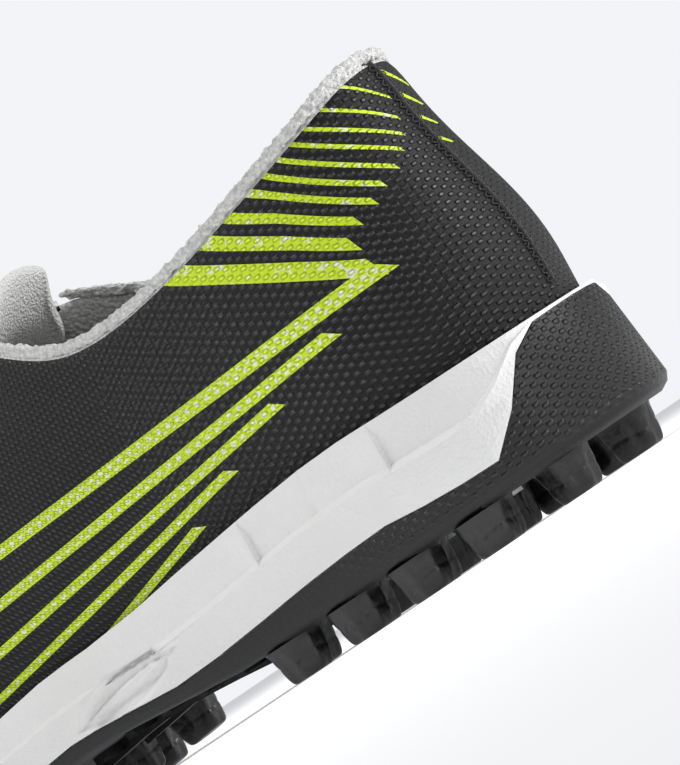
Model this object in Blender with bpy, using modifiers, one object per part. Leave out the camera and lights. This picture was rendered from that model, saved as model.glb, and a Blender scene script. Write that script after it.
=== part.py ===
"""Turf shoe for the left foot: rubber outsole with studs, foam midsole, hollow upper, tongue, insole and laces.

Metres, +Z up, +X toward the toe, +Y toward the outer side of the foot. A place round the shoe is a turn in degrees:
0 is the back of the heel, 180 the toe, and the outer side lies between them. The other side runs from 180 to 360.
"""

import math

import bpy
import bmesh
from mathutils import Vector

# Driving sizes of the sole
SOLE_LENGTH = 0.288
BALL_WIDTH = 0.101
HEEL_WIDTH = 0.073
TOE_INSET = 0.008
STUD_HEIGHT = 0.0085
HEEL_STACK = 0.0170
FOREFOOT_STACK = 0.0115
ARCH_RISE = 0.0040
TOE_SPRING = 0.0110
SIDE_WRAP = 0.0115
PLATE = 0.0022
RUBBER_WALL = 0.0014
EDGE_ROUND = 0.0030
SIDE_BULGE = 0.0008
TOP_LEAN = 0.0018
LIP = 0.0006
FOAM_RIM = 0.0011
BED_INSET = 0.0052
RIDGE = 0.0009
FACET_DEPTH = 0.0010
WING_BULGE = 0.0022
LEAF_DEPTH = 0.0012

# Studs, windows and rails under the sole
STUD_LENGTH = 0.0122
STUD_WIDTH = 0.0108
STUD_FLARE = 1.08
STUD_TIP = 0.80
STUD_STEP = 0.92
STUD_ROOT = 0.0008
WINDOW_START = 0.0125
WINDOW_LENGTH = 0.0860
PANEL_WIDTH = 0.0210
PANEL_PROUD = 0.0008
ARCH_WINDOW_START = 0.1080
ARCH_WINDOW_END = 0.1650
ARCH_WINDOW_WIDTH = 0.0130
RAIL_WIDTH = 0.0030
RAIL_HEIGHT = 0.0030
RUNG_WIDTH = 0.0026
RUNG_HEIGHT = 0.0020
RUNG_REACH = 0.0100
RUNGS = 5

# Driving sizes of the upper
UPPER_WALL = 0.0020
COLLAR_PAD = 0.0052
HEEL_TOP = 0.1000
THROAT_TOP = 0.1020
TOE_BOX = 0.0600
COLLAR_WIDTH = 0.0530
LACE_GAP = 0.0280
BELLY = 0.0090
RIM_THINNING = 0.72

# Turns where the throat, its lace holes and the collar's padding start or end
THROAT_START = 88
THROAT_END = 120
PADDING_END = 84
PADDING_FADE = 12

# Inside pieces and laces
INSOLE_THICKNESS = 0.0030
TONGUE_THICKNESS = 0.0032
TONGUE_RISE = 0.0110
TONGUE_SHARE = 0.86
TONGUE_CROWN = 0.12
TONGUE_DEPTH = 0.0011
TONGUE_NARROWING = 0.40
LACE_WIDTH = 0.0060
LACE_THICKNESS = 0.0014
LACE_LIFT = 0.0064
LACE_CLEAR = 0.0030
LACE_ROWS = 5
GAP = 0.0003

COLUMN_STEP = 6.0

# Half widths round the outline, as shares of half the heel width, half the ball width and the toe inset
OUTLINE = (
    # turn, outer heel, outer ball, outer toe, inner heel, inner ball, inner toe
    (0, 0.00, 0.00, 0.0, 0.00, 0.00, 0.0),
    (20, 0.62, 0.00, 0.0, 0.62, 0.00, 0.0),
    (40, 0.95, 0.00, 0.0, 0.94, 0.00, 0.0),
    (60, 1.01, 0.00, 0.0, 0.95, 0.00, 0.0),
    (80, 0.56, 0.38, 0.0, 0.50, 0.23, 0.0),
    (100, 0.00, 0.90, 0.0, 0.00, 0.76, 0.0),
    (120, 0.00, 0.95, 0.0, 0.00, 1.00, 0.0),
    (140, 0.00, 0.71, 0.0, 0.00, 0.91, 0.0),
    (160, 0.00, 0.30, 0.0, 0.00, 0.63, 0.0),
    (180, 0.00, 0.00, -1.0, 0.00, 0.00, 1.0),
)

# Heights along the sole, each a share of the size that its column names
PROFILE = (
    # place, arch rise, toe spring, heel stack, side wrap
    (0.00, 0.00, 0.00, 1.00, 0.90),
    (0.10, 0.00, 0.00, 1.00, 0.95),
    (0.20, 0.00, 0.00, 1.00, 1.00),
    (0.35, 0.10, 0.00, 0.85, 0.75),
    (0.42, 0.60, 0.00, 0.65, 0.50),
    (0.50, 1.00, 0.00, 0.40, 0.42),
    (0.58, 0.50, 0.00, 0.20, 0.45),
    (0.66, 0.00, 0.00, 0.05, 0.50),
    (0.76, 0.00, 0.00, 0.00, 0.55),
    (0.86, 0.00, 0.16, 0.00, 0.62),
    (0.93, 0.00, 0.48, 0.00, 0.70),
    (1.00, 0.00, 1.00, 0.00, 0.74),
)

# How high the black rubber reaches up the side, as a share of the wall
RUBBER_EDGE = (
    # place, share
    (0.000, 1.00),
    (0.018, 0.98),
    (0.040, 0.55),
    (0.065, 0.24),
    (0.110, 0.25),
    (0.170, 0.31),
    (0.260, 0.28),
    (0.345, 0.22),
    (0.365, 0.17),
    (0.500, 0.17),
    (0.700, 0.20),
    (0.860, 0.26),
    (0.930, 0.45),
    (0.975, 0.90),
    (1.000, 1.00),
)

# Top line of the upper: collar, lacing edge, then the ridge over the toes
TOP_LINE = (
    # turn, along, collar half, lacing half, toe inset, heel top, throat top, toe box
    (0, 0.040, 0.00, 0.00, 0.00, 1.000, 0.000, 0.000),
    (15, 0.046, 0.38, 0.00, 0.00, 0.990, 0.000, 0.000),
    (30, 0.078, 0.72, 0.00, 0.00, 0.955, 0.000, 0.000),
    (45, 0.140, 0.92, 0.00, 0.00, 0.910, 0.000, 0.000),
    (60, 0.222, 1.00, 0.00, 0.00, 0.865, 0.000, 0.000),
    (72, 0.310, 1.02, 0.00, 0.00, 0.845, 0.000, 0.000),
    (80, 0.370, 0.96, 0.00, 0.00, 0.875, 0.000, 0.000),
    (86, 0.412, 0.62, 0.42, 0.00, 0.480, 0.470, 0.000),
    (90, 0.442, 0.20, 0.90, 0.00, 0.000, 0.985, 0.000),
    (97, 0.500, 0.00, 1.00, 0.00, 0.000, 0.940, 0.000),
    (105, 0.570, 0.00, 0.88, 0.00, 0.000, 0.860, 0.000),
    (112, 0.636, 0.00, 0.76, 0.05, 0.000, 0.775, 0.000),
    (114, 0.656, 0.00, 0.64, 0.09, 0.000, 0.750, 0.000),
    (120, 0.690, 0.00, 0.00, 0.20, 0.000, 0.000, 1.210),
    (130, 0.770, 0.00, 0.00, 0.45, 0.000, 0.000, 1.100),
    (140, 0.845, 0.00, 0.00, 0.65, 0.000, 0.000, 1.000),
    (150, 0.905, 0.00, 0.00, 0.80, 0.000, 0.000, 0.920),
    (160, 0.945, 0.00, 0.00, 0.93, 0.000, 0.000, 0.845),
    (170, 0.967, 0.00, 0.00, 1.00, 0.000, 0.000, 0.775),
    (180, 0.975, 0.00, 0.00, 1.00, 0.000, 0.000, 0.735),
)

# How each rib of the upper leaves the sole and reaches the top line
RIBS = (
    # turn, rise, belly, reach, drop
    (0, 0.40, 0.55, -0.10, 0.42),
    (30, 0.40, 0.60, 0.05, 0.42),
    (60, 0.42, 0.65, 0.20, 0.40),
    (80, 0.45, 0.70, 0.30, 0.36),
    (95, 0.50, 0.80, 0.45, 0.22),
    (115, 0.52, 0.80, 0.50, 0.10),
    (120, 0.55, 0.75, 0.52, 0.00),
    (150, 0.60, 0.60, 0.55, 0.00),
    (180, 0.60, 0.50, 0.60, 0.00),
)
RIB_ROWS = 7

# Window through the heel rubber: a slot, the panel and a neck
WINDOW = (
    # place, half width
    (0.00, 0.16),
    (0.03, 0.32),
    (0.33, 0.36),
    (0.40, 0.84),
    (0.46, 1.00),
    (0.66, 1.00),
    (0.75, 0.78),
    (0.81, 0.38),
    (1.00, 0.38),
)

# Stud places: along the sole, then each stud's distance from the middle as a share of the half width there
STUD_ROWS = (
    # along, outer pair, inner pair, lag of the inner pair
    (0.062, 0.52, 0.00, 0.000),
    (0.114, 0.87, 0.52, 0.020),
    (0.180, 0.88, 0.54, 0.020),
    (0.245, 0.88, 0.54, 0.020),
    (0.309, 0.87, 0.53, 0.020),
    (0.590, 0.86, 0.30, 0.020),
    (0.652, 0.86, 0.30, 0.020),
    (0.714, 0.86, 0.30, 0.020),
    (0.776, 0.86, 0.30, 0.020),
    (0.838, 0.84, 0.29, 0.020),
    (0.898, 0.76, 0.26, 0.020),
    (0.962, 0.00, 0.36, 0.000),
)

# One stud seen from below: a bean with a hollow side and a wavy back, as shares of its half length and half width
STUD_OUTLINE = (
    # along, across
    (1.00, 0.10),
    (0.72, 0.80),
    (0.20, 1.00),
    (-0.25, 0.74),
    (-0.72, 0.92),
    (-1.00, 0.20),
    (-0.80, -0.62),
    (-0.30, -1.00),
    (0.18, -0.62),
    (0.74, -0.70),
)

# Steps of the foam side: each facet's ends along the sole
FACETS = (
    # start, end
    (0.075, 0.135),
    (0.140, 0.205),
    (0.210, 0.275),
    (0.280, 0.345),
)
LEAF = (0.395, 0.470)
WING = (0.360, 0.520)

COLOURS = {
    "upper": ((0.02, 0.02, 0.022), 0.75),
    "tongue": ((0.80, 0.80, 0.78), 0.9),
    "insole": ((0.05, 0.05, 0.05), 0.9),
    "midsole": ((0.86, 0.86, 0.85), 0.55),
    "outsole": ((0.015, 0.015, 0.016), 0.5),
    "laces": ((0.82, 0.82, 0.80), 0.85),
}


def read(table, place, column):
    """A smooth curve through one column of a table, whose first column is the place."""
    last = len(table) - 1
    row = 0
    while row < last - 1 and place > table[row + 1][0]:
        row += 1
    here, there = table[row], table[row + 1]
    span = there[0] - here[0]
    share = min(max((place - here[0]) / span, 0.0), 1.0)

    def slope(index):
        before, after = table[max(index - 1, 0)], table[min(index + 1, last)]
        return (after[column] - before[column]) / (after[0] - before[0]) * span

    square, cube = share * share, share ** 3
    return (
        (2 * cube - 3 * square + 1) * here[column]
        + (cube - 2 * square + share) * slope(row)
        + (3 * square - 2 * cube) * there[column]
        + (cube - square) * slope(row + 1)
    )


def straight(table, place, column=1):
    """The same, with straight lines between the rows."""
    for here, there in zip(table, table[1:]):
        if place <= there[0]:
            share = max((place - here[0]) / (there[0] - here[0]), 0.0)
            return here[column] + share * (there[column] - here[column])
    return table[-1][column]


def outline_loop():
    """The outline's half widths as one closed table of turn and y."""
    rows = []
    for turn, outer_heel, outer_ball, outer_toe, *_ in OUTLINE:
        rows.append((turn, outer_heel * HEEL_WIDTH / 2 + outer_ball * BALL_WIDTH / 2 + outer_toe * TOE_INSET))
    for turn, _, _, _, inner_heel, inner_ball, inner_toe in OUTLINE[-2::-1]:
        rows.append((360 - turn, -inner_heel * HEEL_WIDTH / 2 - inner_ball * BALL_WIDTH / 2 - inner_toe * TOE_INSET))
    before = (rows[-2][0] - 360, rows[-2][1])
    after = (rows[1][0] + 360, rows[1][1])
    return [before] + rows + [after]


LOOP = outline_loop()


def half_turn(turn):
    return turn if turn <= 180 else 360 - turn


def along_of(turn):
    """The place along the sole at a turn, from 0 at the heel to 1 at the toe."""
    return (1 - math.cos(math.radians(half_turn(turn)))) / 2


def turn_at(along):
    return math.degrees(math.acos(min(max(1 - 2 * along, -1.0), 1.0)))


def edge_point(turn):
    return Vector((SOLE_LENGTH * along_of(turn % 360), read(LOOP, turn % 360, 1)))


def outward(turn):
    """The direction away from the sole's middle, level with the floor."""
    ahead, behind = edge_point(turn + 1), edge_point(turn - 1)
    run = (ahead - behind).normalized()
    return Vector((-run.y, run.x))


def plan_point(turn, out, height):
    place = edge_point(turn) + out * outward(turn)
    return Vector((place.x, place.y, height))


def half_width(along, side):
    turn = turn_at(along)
    return abs(edge_point(turn if side > 0 else 360 - turn).y)


def base(along):
    """Height of the rubber plate's underside."""
    arch, spring = max(read(PROFILE, along, 1), 0.0), max(read(PROFILE, along, 2), 0.0)
    return STUD_HEIGHT + ARCH_RISE * arch + TOE_SPRING * spring


def bed(along):
    """Height of the foam under the insole."""
    heel = read(PROFILE, along, 3)
    return base(along) + HEEL_STACK * heel + FOREFOOT_STACK * (1 - heel)


def wall_top(along):
    return bed(along) + SIDE_WRAP * read(PROFILE, along, 4)


def rubber_top(along):
    """Height of the line between black rubber and white foam."""
    wall = wall_top(along) - LIP - GAP - base(along)
    return base(along) + max(wall * straight(RUBBER_EDGE, along), PLATE + 2 * LIP)


def foam_top(along):
    return max(wall_top(along), rubber_top(along) + GAP + LIP)


def lean(along, height):
    """How far the side stands out of the outline at a height."""
    share = (height - base(along)) / (wall_top(along) - base(along))
    share = min(max(share, 0.0), 1.0)
    return SIDE_BULGE * math.sin(math.pi * share) - TOP_LEAN * share * share


def rim_offset(along):
    """Where the foam's inner face meets its rim: the foam stands inside the rubber wall all round."""
    return lean(along, foam_top(along)) - RUBBER_WALL - GAP - FOAM_RIM


def inside(span, place):
    return span[0] <= place <= span[1]


def relief(along, share):
    """Steps and swellings of the foam side, at a share of its height."""
    swell = 0.0
    if inside(WING, along):
        middle = (along - WING[0]) / (WING[1] - WING[0])
        swell += WING_BULGE * math.sin(math.pi * middle) * (1 - share)
    if inside(LEAF, along) and 0.2 < share < 0.5:
        swell -= LEAF_DEPTH
    if 0.40 < share < 0.5:
        swell += RIDGE
    if share > 0.5 and any(inside(facet, along) for facet in FACETS):
        swell -= FACET_DEPTH * (1.0 if share < 0.9 else 0.0)
    return swell


def stations(extra=()):
    """Turns of the columns round the sole, the same on both sides."""
    count = round(180 / COLUMN_STEP)
    half = [COLUMN_STEP * step for step in range(1, count)]
    half += [turn_at(along) for along in extra]
    half = sorted(set(round(turn, 4) for turn in half))
    kept = [turn for turn in half if turn in [round(turn_at(a), 4) for a in extra] or not any(
        abs(turn - turn_at(along)) < 0.9 for along in extra)]
    return [0.0] + kept + [180.0] + [360.0 - turn for turn in reversed(kept)]


def facet_ends():
    """Two columns at each step of the foam side, one just before it and one just after."""
    ends = []
    for span in FACETS + (LEAF,):
        ends += [span[0] - 0.002, span[0], span[1], span[1] + 0.002]
    return ends


collection = bpy.data.collections.new("turf_shoe")
helpers = bpy.data.collections.new("turf_shoe_helpers")


def clear_scene():
    for thing in list(bpy.data.objects):
        bpy.data.objects.remove(thing, do_unlink=True)
    bpy.context.scene.collection.children.link(collection)
    bpy.context.scene.collection.children.link(helpers)


def finish_of(name):
    colour, roughness = COLOURS[name]
    material = bpy.data.materials.new(name)
    material.use_nodes = True
    shader = material.node_tree.nodes["Principled BSDF"]
    shader.inputs["Base Color"].default_value = (*colour, 1.0)
    shader.inputs["Roughness"].default_value = roughness
    return material


def object_from(name, mesh_cage, helper=False):
    """Turns a bmesh into a named object, with its faces pointing out."""
    bmesh.ops.remove_doubles(mesh_cage, verts=mesh_cage.verts, dist=1e-6)
    bmesh.ops.recalc_face_normals(mesh_cage, faces=mesh_cage.faces)
    mesh = bpy.data.meshes.new(name)
    mesh_cage.to_mesh(mesh)
    mesh_cage.free()
    thing = bpy.data.objects.new(name, mesh)
    if helper:
        helpers.objects.link(thing)
        thing.hide_render = True
        thing.display_type = "WIRE"
    else:
        collection.objects.link(thing)
        mesh.materials.append(finish_of(name))
        mesh.shade_smooth()
    return thing


def cap(cage, ring):
    """Closes a ring with strips straight across, from one side of the shoe to the other."""
    count = len(ring)
    cage.faces.new((ring[0], ring[1], ring[-1]))
    for index in range(1, count // 2 - 1):
        cage.faces.new((ring[index], ring[index + 1], ring[count - index - 1], ring[count - index]))
    middle = count // 2
    cage.faces.new((ring[middle - 1], ring[middle], ring[middle + 1]))


def skin(cage, rings, split=False):
    """Joins closed rings of equal count into a wall. Faces that are split take their short diagonal, so that
    two walls made from the same columns stay parallel."""
    for low, high in zip(rings, rings[1:]):
        for index, corner in enumerate(low):
            beside = (index + 1) % len(low)
            first, second, third, fourth = corner, low[beside], high[beside], high[index]
            if not split:
                cage.faces.new((first, second, third, fourth))
                continue
            if (first.co - third.co).length > (second.co - fourth.co).length:
                first, second, third, fourth = second, third, fourth, first
            cage.faces.new((first, second, third))
            cage.faces.new((first, third, fourth))


def ring_solid(cage, rings):
    made = [[cage.verts.new(point) for point in ring] for ring in rings]
    skin(cage, made, split=True)
    cap(cage, made[0])
    cap(cage, made[-1])


def strip_solid(cage, rows):
    """A bar along the shoe from rows of place, middle, half width, low and high."""
    rings = []
    for x, middle, half, low, high in rows:
        corners = ((middle - half, low), (middle + half, low), (middle + half, high), (middle - half, high))
        rings.append([cage.verts.new((x, y, z)) for y, z in corners])
    skin(cage, rings)
    cage.faces.new(rings[0])
    cage.faces.new(rings[-1])


def combine(thing, other, operation):
    """Joins or cuts with a helper by a Boolean, which may hold many bodies where it joins."""
    modifier = thing.modifiers.new(operation.lower() + "_" + other.name, "BOOLEAN")
    modifier.operation = operation
    modifier.object = other
    modifier.solver = "EXACT"
    modifier.use_self = operation == "UNION"


def window_rows(start, end, clearance, low, high):
    """The heel window between two places, made smaller by the clearance."""
    places = [row[0] for row in WINDOW if start < row[0] < end]
    rows = []
    for place in [start] + places + [end]:
        shift = clearance if place == start else (-clearance if place == end else 0.0)
        x = WINDOW_START + WINDOW_LENGTH * place + shift
        half = PANEL_WIDTH / 2 * straight(WINDOW, place) - clearance
        rows.append((x, 0.0, half, low, high))
    return rows


def arch_rows(clearance, low, high):
    """The window in the arch, where the plate is curved."""
    rows = []
    steps = 6
    start, end = ARCH_WINDOW_START + clearance, ARCH_WINDOW_END - clearance
    for step in range(steps + 1):
        x = start + (end - start) * step / steps
        height = base(x / SOLE_LENGTH)
        narrow = 0.6 if step in (0, steps) else 1.0
        half = ARCH_WINDOW_WIDTH / 2 * narrow - clearance
        rows.append((x, 0.0, half, height + low, height + high))
    return rows


def stud_places():
    """Middle and facing of every stud: along, across, side of the shoe."""
    places = []
    for along, outer, inner, lag in STUD_ROWS:
        for share, place in ((outer, along), (inner, along + lag)):
            if share == 0:
                continue
            for side in (1, -1):
                middle = -TOE_INSET * read(TOP_LINE, turn_at(place), 4)
                across = middle + side * share * (half_width(place, side) - EDGE_ROUND) * 0.98
                places.append((place * SOLE_LENGTH, across, side))
    return places


def add_stud(cage, x, y, side):
    """One stud: a flared root, a step halfway down and a flat tip."""
    along = x / SOLE_LENGTH
    top = base(along)
    slope = (base(along + 0.01) - base(along - 0.01)) / (0.02 * SOLE_LENGTH)
    levels = (
        (-STUD_ROOT, STUD_FLARE),
        (STUD_HEIGHT * 0.45, 1.0),
        (STUD_HEIGHT * 0.50, STUD_STEP),
        (STUD_HEIGHT, STUD_TIP),
    )
    rings = []
    for depth, size in levels:
        ring = []
        for run, reach in STUD_OUTLINE:
            dx = run * STUD_LENGTH / 2 * size
            dy = side * reach * STUD_WIDTH / 2 * size
            ring.append(cage.verts.new((x + dx, y + dy, max(top + slope * dx - depth, 0.0))))
        rings.append(ring)
    skin(cage, rings)
    cage.faces.new(rings[0])
    cage.faces.new(rings[-1])


def build_outsole():
    turns = stations(facet_ends())
    rings = [[], [], [], [], [], []]
    for turn in turns:
        along = along_of(turn)
        low, edge = base(along), rubber_top(along)
        shoulder = low + min(EDGE_ROUND, 0.6 * (edge - low))
        outer = lean(along, edge)
        inner_foot = -(RUBBER_WALL + SIDE_BULGE)
        levels = (
            (-EDGE_ROUND, low),
            (-0.25 * EDGE_ROUND, low + 0.4 * (shoulder - low)),
            (lean(along, shoulder), shoulder),
            (outer, edge),
            (outer - RUBBER_WALL, edge),
            (inner_foot, low + PLATE),
        )
        for ring, (out, height) in zip(rings, levels):
            ring.append(plan_point(turn, out, height))
    cage = bmesh.new()
    ring_solid(cage, rings)
    outsole = object_from("outsole", cage)

    cutter = bmesh.new()
    strip_solid(cutter, window_rows(0.0, 1.0, 0.0, base(0) - PLATE, base(0) + 2 * PLATE))
    combine(outsole, object_from("heel_window_cutter", cutter, helper=True), "DIFFERENCE")
    cutter = bmesh.new()
    strip_solid(cutter, arch_rows(0.0, -PLATE, 2 * PLATE))
    combine(outsole, object_from("arch_window_cutter", cutter, helper=True), "DIFFERENCE")

    tread = bmesh.new()
    for x, y, side in stud_places():
        add_stud(tread, x, y, side)
    for side in (1, -1):
        rows = []
        steps = 8
        start, end = ARCH_WINDOW_START - RAIL_WIDTH, ARCH_WINDOW_END + RAIL_WIDTH
        for step in range(steps + 1):
            x = start + (end - start) * step / steps
            low = base(x / SOLE_LENGTH)
            middle = side * (ARCH_WINDOW_WIDTH / 2 + RAIL_WIDTH)
            rows.append((x, middle, RAIL_WIDTH / 2, low - RAIL_HEIGHT, low + PLATE / 2))
        strip_solid(tread, rows)
    combine(outsole, object_from("tread", tread, helper=True), "UNION")

    rungs = bmesh.new()
    for side in (1, -1):
        for rung in range(RUNGS):
            x = ARCH_WINDOW_START + (ARCH_WINDOW_END - ARCH_WINDOW_START) * (rung + 0.5) / RUNGS
            low = base(x / SOLE_LENGTH)
            middle = side * (ARCH_WINDOW_WIDTH / 2 + RAIL_WIDTH + RUNG_REACH / 2)
            rows = [(x + reach * RUNG_WIDTH / 2, middle, RUNG_REACH / 2, low - RUNG_HEIGHT, low + PLATE / 2)
                    for reach in (-1, 1)]
            strip_solid(rungs, rows)
    combine(outsole, object_from("rungs", rungs, helper=True), "UNION")
    return outsole


def build_midsole():
    turns = stations(facet_ends())
    heights = (0.0, 0.21, 0.45, 0.52, 0.80, 1.0)
    rings = [[] for _ in range(len(heights) + 4)]
    for turn in turns:
        along = along_of(turn)
        low, edge, top = base(along), rubber_top(along), foam_top(along)
        start = edge + GAP
        cup = lean(along, edge) - RUBBER_WALL - GAP
        levels = [(-(RUBBER_WALL + SIDE_BULGE + GAP), low + PLATE + GAP), (cup, start)]
        for share in heights:
            height = start + share * (top - start)
            size = min((top - start) / (4 * LIP), 1.0) if top - start > 2 * LIP else 0.0
            levels.append((lean(along, height) + size * relief(along, share), height))
        levels += [(rim_offset(along), top), (-BED_INSET, bed(along))]
        for ring, (out, height) in zip(rings, levels):
            ring.append(plan_point(turn, out, height))
    cage = bmesh.new()
    ring_solid(cage, rings)
    midsole = object_from("midsole", cage)

    clearance = 1.5 * GAP
    roof = base(0) + PLATE + 2 * GAP + PANEL_PROUD
    slim = clearance + GAP
    bosses = (
        ("slot_boss", window_rows(0.0, 0.38, slim, base(0) + PLATE / 2, roof + GAP)),
        ("panel_boss", window_rows(0.34, 0.79, clearance, base(0) - PANEL_PROUD, roof)),
        ("neck_boss", window_rows(0.76, 1.0, slim, base(0) + GAP, roof + GAP)),
        ("arch_boss", arch_rows(clearance, GAP, PLATE + 2 * GAP + PANEL_PROUD)),
    )
    for name, rows in bosses:
        boss = bmesh.new()
        strip_solid(boss, rows)
        combine(midsole, object_from(name, boss, helper=True), "UNION")
    return midsole


def top_point(turn):
    """A point of the upper's top line."""
    half = half_turn(turn)
    side = 1 if turn <= 180 else -1
    across = read(TOP_LINE, half, 2) * COLLAR_WIDTH / 2 + read(TOP_LINE, half, 3) * LACE_GAP / 2
    height = (
        read(TOP_LINE, half, 5) * HEEL_TOP
        + read(TOP_LINE, half, 6) * THROAT_TOP
        + read(TOP_LINE, half, 7) * TOE_BOX
    )
    if half >= THROAT_END:
        across = 0.0
    return Vector((
        read(TOP_LINE, half, 1) * SOLE_LENGTH,
        side * max(across, 0.0) - read(TOP_LINE, half, 4) * TOE_INSET,
        height,
    ))


def upper_point(turn, share):
    """A point of the upper's outer face: share 0 is just above the foam, 1 is the top line."""
    along = along_of(turn)
    rim = foam_top(along)
    foot = plan_point(turn, rim_offset(along) - GAP, rim + GAP)
    top = top_point(turn)
    half = half_turn(turn)
    rise, belly = read(RIBS, half, 1), read(RIBS, half, 2)
    reach, drop = read(RIBS, half, 3), read(RIBS, half, 4)
    away = outward(turn).to_3d()
    height = top.z - foot.z
    spread = (foot - top).to_2d().length
    first = foot + Vector((0, 0, rise * height)) + belly * BELLY * away
    second = top - Vector((0, 0, drop * height)) + reach * spread * away
    if half >= THROAT_END:
        behind = top_point(half - 4)
        slope = (top.z - behind.z) / (top.x - behind.x)
        second.z += slope * (second.x - top.x)
    left = 1 - share
    return left ** 3 * foot + 3 * left * left * share * first + 3 * left * share * share * second + share ** 3 * top


def feather_point(turn):
    along = along_of(turn)
    return plan_point(turn, -(BED_INSET + GAP), bed(along) + GAP)


def padding(turn, share):
    """Wall thickness of the upper as a share of the padded collar's."""
    thin = UPPER_WALL / COLLAR_PAD
    half = half_turn(turn)
    round_heel = min(max((PADDING_END - half) / PADDING_FADE, 0.0), 1.0)
    near_top = min(max((share - 0.55) / 0.25, 0.0), 1.0)
    rim = 1.0 if share < 0.99 else RIM_THINNING
    return max(thin, thin + (1 - thin) * round_heel * near_top * rim)


def build_upper():
    turns = stations()
    cage = bmesh.new()
    columns = []
    weights = []
    for turn in turns:
        column = [cage.verts.new(feather_point(turn))]
        weights.append(padding(turn, 0.0))
        for row in range(RIB_ROWS + 1):
            share = row / RIB_ROWS
            column.append(cage.verts.new(upper_point(turn, share)))
            weights.append(padding(turn, share))
        columns.append(column)
    for column, beside in zip(columns, columns[1:] + columns[:1]):
        for row in range(RIB_ROWS + 1):
            cage.faces.new((column[row], beside[row], beside[row + 1], column[row + 1]))
    layer = cage.verts.layers.deform.verify()
    cage.verts.ensure_lookup_table()
    for vertex, weight in zip(cage.verts, weights):
        vertex[layer][0] = weight
    upper = object_from("upper", cage)
    upper.vertex_groups.new(name="padding")
    wall = upper.modifiers.new("wall", "SOLIDIFY")
    wall.thickness = COLLAR_PAD
    wall.offset = -1
    wall.vertex_group = "padding"
    wall.use_even_offset = False
    return upper


def inner_point(turn, share, depth):
    """A point below the upper's outer face by a depth, square to the face."""
    here = upper_point(turn, share)
    along_face = upper_point(turn + 1, share) - upper_point(turn - 1, share)
    up_face = here - upper_point(turn, share - 0.02)
    normal = along_face.cross(up_face).normalized()
    if normal.z < 0:
        normal = -normal
    return here - depth * normal


def tongue_section(place):
    """Points across the tongue at a place from 0, under the toes' side of the throat, to 1, its free top."""
    turn = THROAT_END - 3 + (THROAT_START + 5 - THROAT_END) * min(place / TONGUE_SHARE, 1.0)
    depth = UPPER_WALL + TONGUE_DEPTH
    points = []
    for side_turn in (turn, 360 - turn):
        edge = inner_point(side_turn, 0.98, depth)
        deep = inner_point(side_turn, 0.86, depth)
        points.append((deep, edge))
    (outer_deep, outer_edge), (inner_deep, inner_edge) = points
    middle = (outer_edge + inner_edge) / 2
    crown = TONGUE_CROWN * (outer_edge - inner_edge).length
    middle = middle + Vector((0, 0, crown))
    section = [outer_deep, outer_edge, middle, inner_edge, inner_deep]
    past = max(place - TONGUE_SHARE, 0.0) / (1 - TONGUE_SHARE)
    lift = Vector((-0.62, 0, 0.78)) * TONGUE_RISE * past
    narrow = 1 - TONGUE_NARROWING * min(2 * past, 1.0)
    return [middle + (point - middle) * narrow + lift for point in section]


def build_tongue():
    cage = bmesh.new()
    rows = []
    steps = 12
    for step in range(steps + 1):
        rows.append([cage.verts.new(point) for point in tongue_section(step / steps)])
    for low, high in zip(rows, rows[1:]):
        for index in range(len(low) - 1):
            cage.faces.new((low[index], low[index + 1], high[index + 1], high[index]))
    tongue = object_from("tongue", cage)
    if tongue.data.polygons[0].normal.z < 0:
        tongue.data.flip_normals()
    wall = tongue.modifiers.new("wall", "SOLIDIFY")
    wall.thickness = TONGUE_THICKNESS
    wall.offset = -1
    return tongue


def build_insole():
    turns = stations()
    low_ring, high_ring = [], []
    reach = BED_INSET + UPPER_WALL + 4 * GAP
    for turn in turns:
        along = along_of(turn)
        low_ring.append(plan_point(turn, -reach, bed(along) + GAP))
        high_ring.append(plan_point(turn, -reach, bed(along) + GAP + INSOLE_THICKNESS))
    cage = bmesh.new()
    ring_solid(cage, [low_ring, high_ring])
    return object_from("insole", cage)


def lace_eyelet(row, side):
    """A point on the outer face beside the throat, where a lace hole is."""
    first, last = THROAT_END - 8, THROAT_START + 4
    turn = first + (last - first) * row / LACE_ROWS
    return inner_point(turn if side > 0 else 360 - turn, 0.93, -(LACE_THICKNESS / 2 + LACE_CLEAR))


def lace_strand(cage, start, end, slope):
    """A flat strand from one eyelet over the tongue to the next one across, tilted with the throat's slope."""
    steps = 5
    run = (end - start).to_2d().normalized()
    across = Vector((-run.y, run.x, -run.y * slope)) * LACE_WIDTH / 2
    rings = []
    for step in range(steps + 1):
        share = step / steps
        arch = math.sin(math.pi * share) ** 0.8
        middle = start.lerp(end, share) + Vector((0, 0, arch * LACE_LIFT))
        up = Vector((0, 0, LACE_THICKNESS / 2))
        corners = (middle - across - up, middle + across - up, middle + across + up, middle - across + up)
        rings.append([cage.verts.new(corner) for corner in corners])
    skin(cage, rings)
    cage.faces.new(rings[0])
    cage.faces.new(rings[-1])


def build_laces():
    made = None
    for row in range(LACE_ROWS):
        for side in (1, -1):
            cage = bmesh.new()
            start, end = lace_eyelet(row, side), lace_eyelet(row + 1, -side)
            ahead = lace_eyelet(row + 1, side)
            slope = (ahead.z - start.z) / (ahead.x - start.x)
            lace_strand(cage, start, end, slope)
            if made is None:
                made = object_from("laces", cage)
            else:
                strand = object_from(f"lace_strand_{row}_{side}", cage, helper=True)
                combine(made, strand, "UNION")
    return made


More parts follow.
